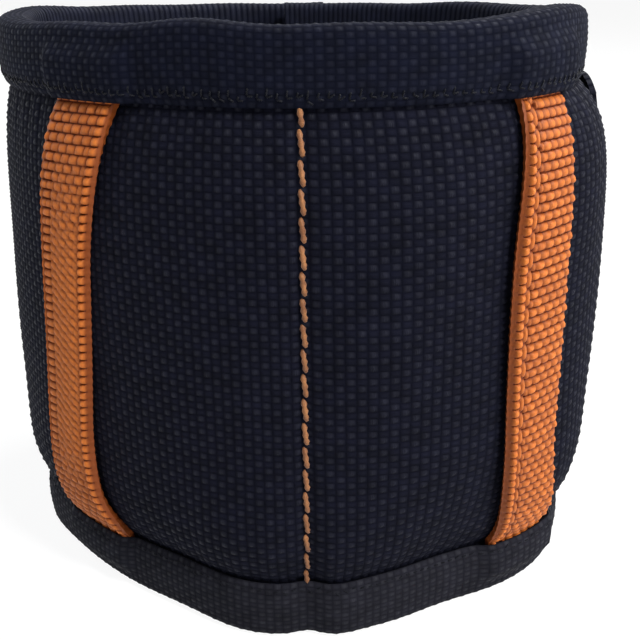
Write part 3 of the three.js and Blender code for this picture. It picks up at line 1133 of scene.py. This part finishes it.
arch = np.linspace(0, math.pi, loop_points)
loop_path = np.stack([loop_width / 2 * np.cos(arch), 0 * arch, loop_height * np.sin(arch)], axis=-1)
loop_corners, loop_faces = bent_wire(loop_path, loop_wire)
draws = np.random.default_rng(11)
loop_angles = draws.uniform(loop_start + span(tape_inset), loop_end - span(tape_inset), loop_count)
loop_ups = draws.uniform(tape_low + tape_inset, band_width - tape_low - tape_inset, loop_count)
loop_turns = draws.uniform(0, math.pi, loop_count)
loops = strew("stray_loops", loop_corners, loop_faces, loop_angles, loop_ups, loop_foot, loop_turns)
loops.data.materials.append(loop_pile)
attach(loops, "band")

# Flap: a tongue of the shell's nylon sewn to the wing's end, with round corners at its tip.
# It closes the band over the loop tape and is edged with a row of black stitches.
flap_tip = 86
flap_root = 173.6
flap_row_end = 168.6
flap_face = 3.7 * mm
flap_thickness = 0.9 * mm
flap_corner = 8 * mm
flap_corner_rows = 0.3
flap_height = band_width - 2 * flap_low
flap_wave = 0.15 * mm
flap_points = 60


def flap_spots_at(angle, up_share, relief=0):
    past = np.clip((angle - flap_tip) / span(flap_corner), 0, 1)
    drop = flap_corner * (1 - np.sqrt(1 - (1 - past) ** 2))
    near_low = 1 - rise(up_share, 0, flap_corner_rows)
    near_high = rise(up_share, 1 - flap_corner_rows, 1)
    up = flap_low + flap_height * up_share + drop * (near_low - near_high)
    out = flap_face + flap_thickness + flap_wave * waver(angle, up, 7) + weave_depth * relief
    return place(angle, out, up)


flap_columns = round(arc(flap_root - flap_tip) / thread_width)
flap_rows = round(flap_height / thread_height)


def flap_cloth_spots(along, up_share):
    relief = weave(flap_columns, flap_rows, along, up_share)
    return flap_spots_at(between(flap_tip, flap_root, along), up_share, relief), relief


flap_angles = np.linspace(flap_tip, flap_root, flap_points)
flap_line = flap_spots_at(flap_angles, np.full(flap_points, 0.5))
flap = cloth("flap_cloth", 2 * flap_columns, 2 * flap_rows, flap_cloth_spots, flap_thickness)
flap_nylon = woven_nylon("flap_nylon", flap_columns, flap_rows, shell_colours, shell_dull, shell_shiny)
flap.data.materials.append(flap_nylon)
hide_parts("flap")
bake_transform(flap)
flap_row_inset = 2.2 * mm
flap_row_points = 90
stitch_relief = 0.6
hook_start = 92
hook_end = 158
hook_row_inset = 1.5 * mm


def flap_round(tip, root, margin):
    """A line of stitching on the flap, from its root along the lower edge, up its tip and back."""
    low_share = margin / flap_height
    backs = np.linspace(root, tip, flap_row_points)
    shares = np.linspace(low_share, 1 - low_share, flap_row_points)
    angles = np.concatenate([backs, np.full(flap_row_points, tip), backs[::-1]])
    heights = np.concatenate([np.full_like(shares, low_share), shares, np.full_like(shares, 1 - low_share)])
    outward = outwards(angles)
    return flap_spots_at(angles, heights, stitch_relief) + upright_sit * outward, outward


hook_inset = span(hook_row_inset)
for name, tip, root, margin in (
    ("flap_edge_stitches", flap_tip + span(flap_row_inset), flap_row_end, flap_row_inset),
    ("flap_tape_stitches", hook_start + hook_inset, hook_end - hook_inset, tape_margin + hook_row_inset),
):
    row = sew_along(name, *flap_round(tip, root, margin))
    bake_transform(row)

# Hook tape: a strip of moulded nylon hooks sewn to the inside of the flap.
# Rows of small upright hooks on a thin woven ground, all bent towards the tip.
hook_face = 2.2 * mm
hook_thickness = 1.2 * mm
hook_ground = 0.4 * mm
hook_steps = (80, 90)


def hook_finish():
    material, shader = finish("hook_nylon")
    grain = noise(object_spots(shader), 1500.0, 2.0)
    colour = blend_colours(grain, (0.004, 0.004, 0.005, 1), (0.018, 0.018, 0.022, 1))
    coat(shader, colour, span_values(grain, 0.3, 0.55), 0.16)
    return material


def ground_spots(along, up_share):
    angle = between(hook_start, hook_end, along)
    up = height_at(tape_low, up_share)
    return place(angle, np.full_like(angle, hook_face + hook_thickness), up), 0


hook_nylon = hook_finish()
hook_tape = cloth("hook_tape_ground", *hook_steps, ground_spots, hook_ground)
hook_tape.data.materials.append(hook_nylon)
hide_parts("hook_tape")
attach(hook_tape, "closing_flap")
hook_pitch = 1.5 * mm
hook_height = 0.8 * mm
hook_bend = 0.26 * mm
hook_wire = 0.11 * mm
hook_root = 0.1 * mm
bend_turns = np.radians([0, 55, 110, 165, 205])
bend_run = hook_bend * (1 - np.cos(bend_turns))
bend_depth = -(hook_height - hook_bend) - hook_bend * np.sin(bend_turns)
hook_path = np.concatenate([[[0, 0, hook_root]], np.stack([-bend_run, 0 * bend_run, bend_depth], axis=-1)])
hook_corners, hook_faces = bent_wire(hook_path, hook_wire)
hook_columns = np.arange(hook_start + span(tape_inset), hook_end - span(tape_inset), span(hook_pitch))
hook_lines = np.arange(tape_low + tape_inset, band_width - tape_low - tape_inset, hook_pitch)
hook_angles, hook_ups = [grid.ravel() for grid in np.meshgrid(hook_columns, hook_lines)]
hook_foot = hook_face + hook_thickness - hook_ground
hooks = strew("hooks", hook_corners, hook_faces, hook_angles, hook_ups, hook_foot, 0 * hook_angles)
hooks.data.materials.append(hook_nylon)
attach(hooks, "closing_flap")

# Stage: the view of the photograph, a white floor, and soft light that is strongest from the right.
camera_spot = Vector((middle_x + 4.7 * mm, middle_y - 160.5 * mm, 96.2 * mm))
camera_pitch = math.radians(20.9)
camera_pan = math.radians(-0.08)
camera_roll = math.radians(-0.9)
bpy.ops.object.camera_add(location=camera_spot)
camera = bpy.context.object
camera_turn = Matrix.Rotation(camera_pan, 3, "Z") @ Matrix.Rotation(math.pi / 2 - camera_pitch, 3, "X")
camera.rotation_euler = (camera_turn @ Matrix.Rotation(camera_roll, 3, "Z")).to_euler()
camera.data.lens = 51.4
camera.data.sensor_width = 36
camera.data.clip_start = 0.01
bpy.context.scene.camera = camera
bpy.context.scene.view_settings.view_transform = "Standard"


def seen_rays(node):
    """One for a ray from the camera, straight or by way of metal or glass, and nothing for the rest."""
    rays = add_node(node, "LightPath", {}).outputs
    mirrored = reckon("MAXIMUM", rays["Is Glossy Ray"], rays["Is Transmission Ray"])
    return reckon("MAXIMUM", rays["Is Camera Ray"], mirrored)


bpy.ops.mesh.primitive_plane_add(size=8)
floor = bpy.context.object
floor.name = "floor"
paper, paper_shader = finish("white_paper")
coat(paper_shader, (0.75, 0.75, 0.75, 1), 0.9, 0.0)
paper_glow = 0.76
glow = add_node(paper_shader, "Emission", {"Color": (1, 1, 1, 1), "Strength": 1.2}).outputs[0]
seen = times(seen_rays(paper_shader), paper_glow)
mixed = follow("MixShader", {0: seen, 1: paper_shader.outputs[0], 2: glow})
plug(paper.node_tree.nodes["Material Output"], {"Surface": mixed.outputs[0]})
floor.data.materials.append(paper)

world = bpy.data.worlds.new("studio")
bpy.context.scene.world = world
world.use_nodes = True
sky = world.node_tree.nodes["Background"]
sky_strength = span_values(seen_rays(sky), 0.12, 1.0)
plug(sky, {"Color": (1, 1, 1, 1), "Strength": sky_strength})
lamp_distance = 0.9


def softbox(name, azimuth, elevation, size, watts, colour=(1, 1, 1)):
    turn = math.radians(azimuth)
    tilt = math.radians(elevation)
    aim = Vector((middle_x, middle_y, band_width / 2))
    away = Vector((math.sin(turn) * math.cos(tilt), -math.cos(turn) * math.cos(tilt), math.sin(tilt)))
    bpy.ops.object.light_add(type="AREA", location=aim + lamp_distance * away)
    lamp = bpy.context.object
    lamp.name = name
    lamp.rotation_euler = away.to_track_quat("Z", "Y").to_euler()
    lamp.data.size = size
    lamp.data.energy = watts
    lamp.data.color = colour


softbox("right_window", 62, 22, 0.5, 4.8)
softbox("left_window", -98, 32, 1.6, 4.2, (0.84, 0.91, 1))
softbox("top_light", 42, 50, 0.15, 5.6)
softbox("back_top", 125, 58, 0.3, 6.0)
